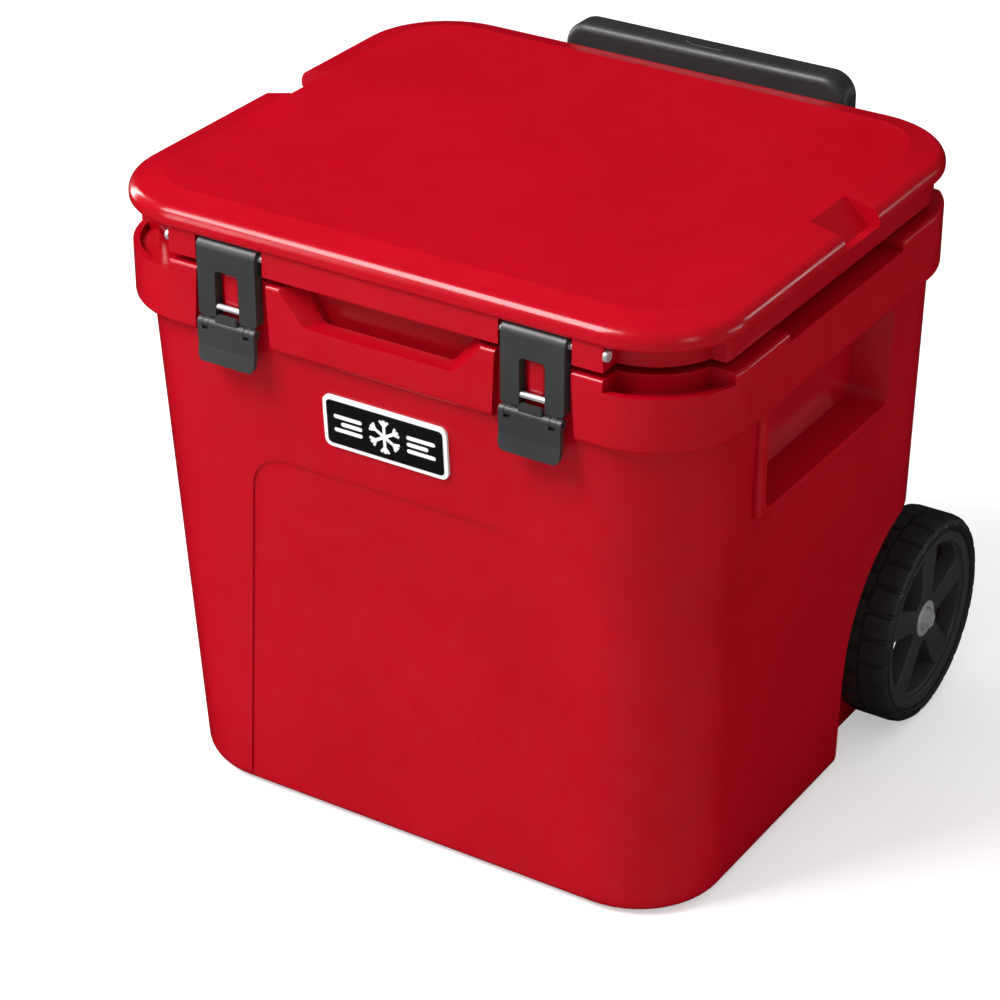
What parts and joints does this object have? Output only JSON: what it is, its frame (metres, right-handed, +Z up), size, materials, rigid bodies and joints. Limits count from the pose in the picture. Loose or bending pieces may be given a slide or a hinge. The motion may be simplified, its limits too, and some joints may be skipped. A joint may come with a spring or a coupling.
{
  "type": "wheeled cooler chest",
  "caption": "Insulated hard cooler chest with a hinged lid, draw latches, side hand pockets, a telescoping pull handle and rear wheels.",
  "frame": {"origin": "on the floor, on the mirror plane, under the middle of the lid from front to back", "axes": "+X to the chest's right as seen from the front, +Y to the back, +Z up"},
  "size_m": [0.504, 0.505, 0.5073],
  "materials": {
    "red_shell": "glossy moulded",
    "white_liner": "smooth moulded",
    "foam": "matt foam",
    "black_rubber": "matt",
    "badge_black": "gloss",
    "badge_white": "gloss",
    "steel": "satin",
    "bright_steel": "polished",
    "black_plastic": "fine moulded grain",
    "latch_plastic": "satin",
    "wheel_plastic": "satin",
    "tyre": "matt",
    "tube": "satin black anodised"
  },
  "bodies": {
    "body": {"body_shell": "red_shell", "body_liner": "white_liner", "body_foam": "foam", "foot_pads": "black_rubber", "badge_plate": "badge_white", "badge_panel": "badge_black", "badge_emblem": "badge_white", "axle": "steel", "axle_sleeve": "steel", "axle_bolts": "bright_steel", "axle_inner_washers": "steel", "axle_outer_washers": "bright_steel", "hinge_screws": "steel", "handle_bracket_screws": "steel", "handle_upper_bracket": "black_plastic", "handle_lower_bracket": "black_plastic", "latch_keeper_right": "red_shell", "hinge_bracket_right": "black_plastic", "hinge_pin_right": "steel", "handle_outer_tube_right": "tube", "handle_outer_collar_right": "black_plastic", "latch_keeper_left": "red_shell", "hinge_bracket_left": "black_plastic", "hinge_pin_left": "steel", "handle_outer_tube_left": "tube", "handle_outer_collar_left": "black_plastic"},
    "lid": {"lid_shell": "red_shell", "lid_liner": "white_liner", "lid_foam": "foam", "lid_gasket": "black_rubber", "latch_pin_right": "bright_steel", "latch_pin_left": "bright_steel"},
    "handle_middle": {"handle_middle_tube_right": "tube", "handle_middle_collar_right": "black_plastic", "handle_middle_tube_left": "tube", "handle_middle_collar_left": "black_plastic"},
    "handle_inner": {"handle_grip": "black_plastic", "handle_inner_tube_right": "tube", "handle_inner_tube_left": "tube"},
    "button": {"handle_button": "black_plastic"},
    "latch_right": {"latch_arm_right": "latch_plastic", "latch_catch_rod_right": "bright_steel", "latch_paddle_pin_right": "steel"},
    "paddle_right": {"latch_paddle_right": "latch_plastic"},
    "wheel_right": {"tyre_right": "tyre", "wheel_rim_right": "wheel_plastic", "wheel_bushes_right": "black_plastic", "hub_ring_right": "bright_steel"},
    "latch_left": {"latch_arm_left": "latch_plastic", "latch_catch_rod_left": "bright_steel", "latch_paddle_pin_left": "steel"},
    "paddle_left": {"latch_paddle_left": "latch_plastic"},
    "wheel_left": {"tyre_left": "tyre", "wheel_rim_left": "wheel_plastic", "wheel_bushes_left": "black_plastic", "hub_ring_left": "bright_steel"}
  },
  "joints": [
    {"name": "lid_hinge", "type": "hinge", "parent": "body", "child": "lid", "pos_m": [0, 0.203, 0.4715], "axis": [-1, 0, 0], "range_deg": [0, 90]},
    {"name": "latch_right_swing", "type": "hinge", "parent": "lid", "child": "latch_right", "pos_m": [0.12725, -0.21, 0.4784], "axis": [-1, 0, 0], "range_deg": [0, 90]},
    {"name": "paddle_right_lift", "type": "hinge", "parent": "latch_right", "child": "paddle_right", "pos_m": [0.12725, -0.2166, 0.421], "axis": [-1, 0, 0], "range_deg": [0, 40]},
    {"name": "wheel_right_spin", "type": "hinge", "parent": "body", "child": "wheel_right", "pos_m": [0.2285, 0.196, 0.087], "axis": [1, 0, 0], "continuous": true},
    {"name": "latch_left_swing", "type": "hinge", "parent": "lid", "child": "latch_left", "pos_m": [-0.12725, -0.21, 0.4784], "axis": [-1, 0, 0], "range_deg": [0, 90]},
    {"name": "paddle_left_lift", "type": "hinge", "parent": "latch_left", "child": "paddle_left", "pos_m": [-0.12725, -0.2166, 0.421], "axis": [-1, 0, 0], "range_deg": [0, 40]},
    {"name": "wheel_left_spin", "type": "hinge", "parent": "body", "child": "wheel_left", "pos_m": [-0.2285, 0.196, 0.087], "axis": [1, 0, 0], "continuous": true},
    {"name": "handle_first_stage", "type": "slide", "parent": "body", "child": "handle_middle", "axis": [0, 0, 1], "range_m": [0, 0.24]},
    {"name": "handle_second_stage", "type": "slide", "parent": "handle_middle", "child": "handle_inner", "axis": [0, 0, 1], "range_m": [0, 0.24]},
    {"name": "handle_button_press", "type": "slide", "parent": "handle_inner", "child": "button", "axis": [0, 0, -1], "range_m": [0, 0.004], "stiffness_N_per_m": 500}
  ]
}
